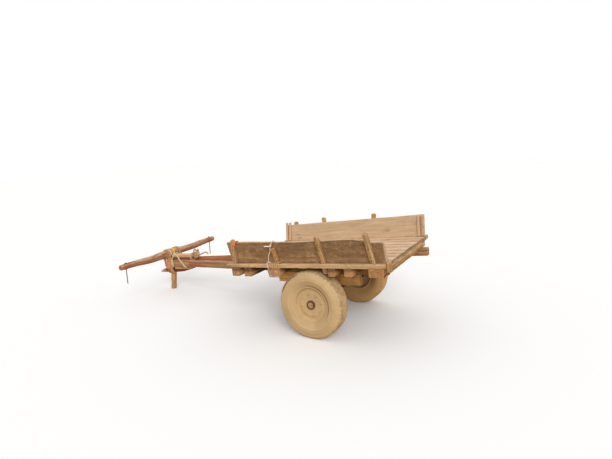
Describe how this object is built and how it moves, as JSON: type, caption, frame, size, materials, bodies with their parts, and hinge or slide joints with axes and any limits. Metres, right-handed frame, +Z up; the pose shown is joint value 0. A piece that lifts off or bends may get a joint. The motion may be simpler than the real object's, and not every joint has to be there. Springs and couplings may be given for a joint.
{
  "type": "bullock cart",
  "caption": "Wooden bullock cart with plank deck and leaning side boards, converging shafts, cross yoke and nose prop, on an iron axle with air-filled disc wheels.",
  "frame": {"origin": "middle of the footprint of the whole cart on the ground, as it stands parked on wheels and prop", "axes": "+X forward to the yoke, +Y to the cart's left, +Z up"},
  "size_m": [4.1628, 1.9168, 1.2908],
  "materials": {
    "tyre_rubber": "matt rubber under tan dust",
    "wheel_steel": "matt paint under tan dust",
    "hub_iron": "rusty",
    "iron": "rusty forged iron",
    "frame_wood": "rough sawn, weathered",
    "deck_wood": "worn bare planks",
    "side_wood": "weathered grey-brown boards",
    "yoke_wood": "hand-smoothed log",
    "rope_fibre": "twisted straw-coloured fibre"
  },
  "bodies": {
    "cart": {"axle": "iron", "axle_straps": "iron", "axle_bed": "frame_wood", "saddle_left": "frame_wood", "saddle_right": "frame_wood", "shaft_left": "frame_wood", "shaft_right": "frame_wood", "cross_beams": "frame_wood", "rear_beam": "frame_wood", "deck_planks": "deck_wood", "rail_left": "frame_wood", "rail_right": "frame_wood", "board_left": "side_wood", "board_right": "side_wood", "stakes_left": "frame_wood", "stakes_right": "frame_wood", "cleats_left": "side_wood", "cleats_right": "side_wood", "rear_header": "deck_wood", "header_post": "frame_wood", "nose_block": "yoke_wood", "skid": "yoke_wood", "yoke_rest": "yoke_wood", "prop": "frame_wood", "yoke": "yoke_wood", "yoke_pins": "iron", "yoke_lashing": "rope_fibre", "nose_lashing": "rope_fibre", "rest_knot": "rope_fibre", "side_rope": "rope_fibre"},
    "wheel_left": {"tyre_left": "tyre_rubber", "wheel_disc_left": "wheel_steel", "hub_left": "hub_iron"},
    "wheel_right": {"tyre_right": "tyre_rubber", "wheel_disc_right": "wheel_steel", "hub_right": "hub_iron"}
  },
  "joints": [
    {"name": "wheel_left_spin", "type": "hinge", "parent": "cart", "child": "wheel_left", "pos_m": [-1.05673, 0.647, 0.4], "axis": [0, 1, 0], "continuous": true},
    {"name": "wheel_right_spin", "type": "hinge", "parent": "cart", "child": "wheel_right", "pos_m": [-1.05673, -0.647, 0.4], "axis": [0, 1, 0], "continuous": true}
  ]
}
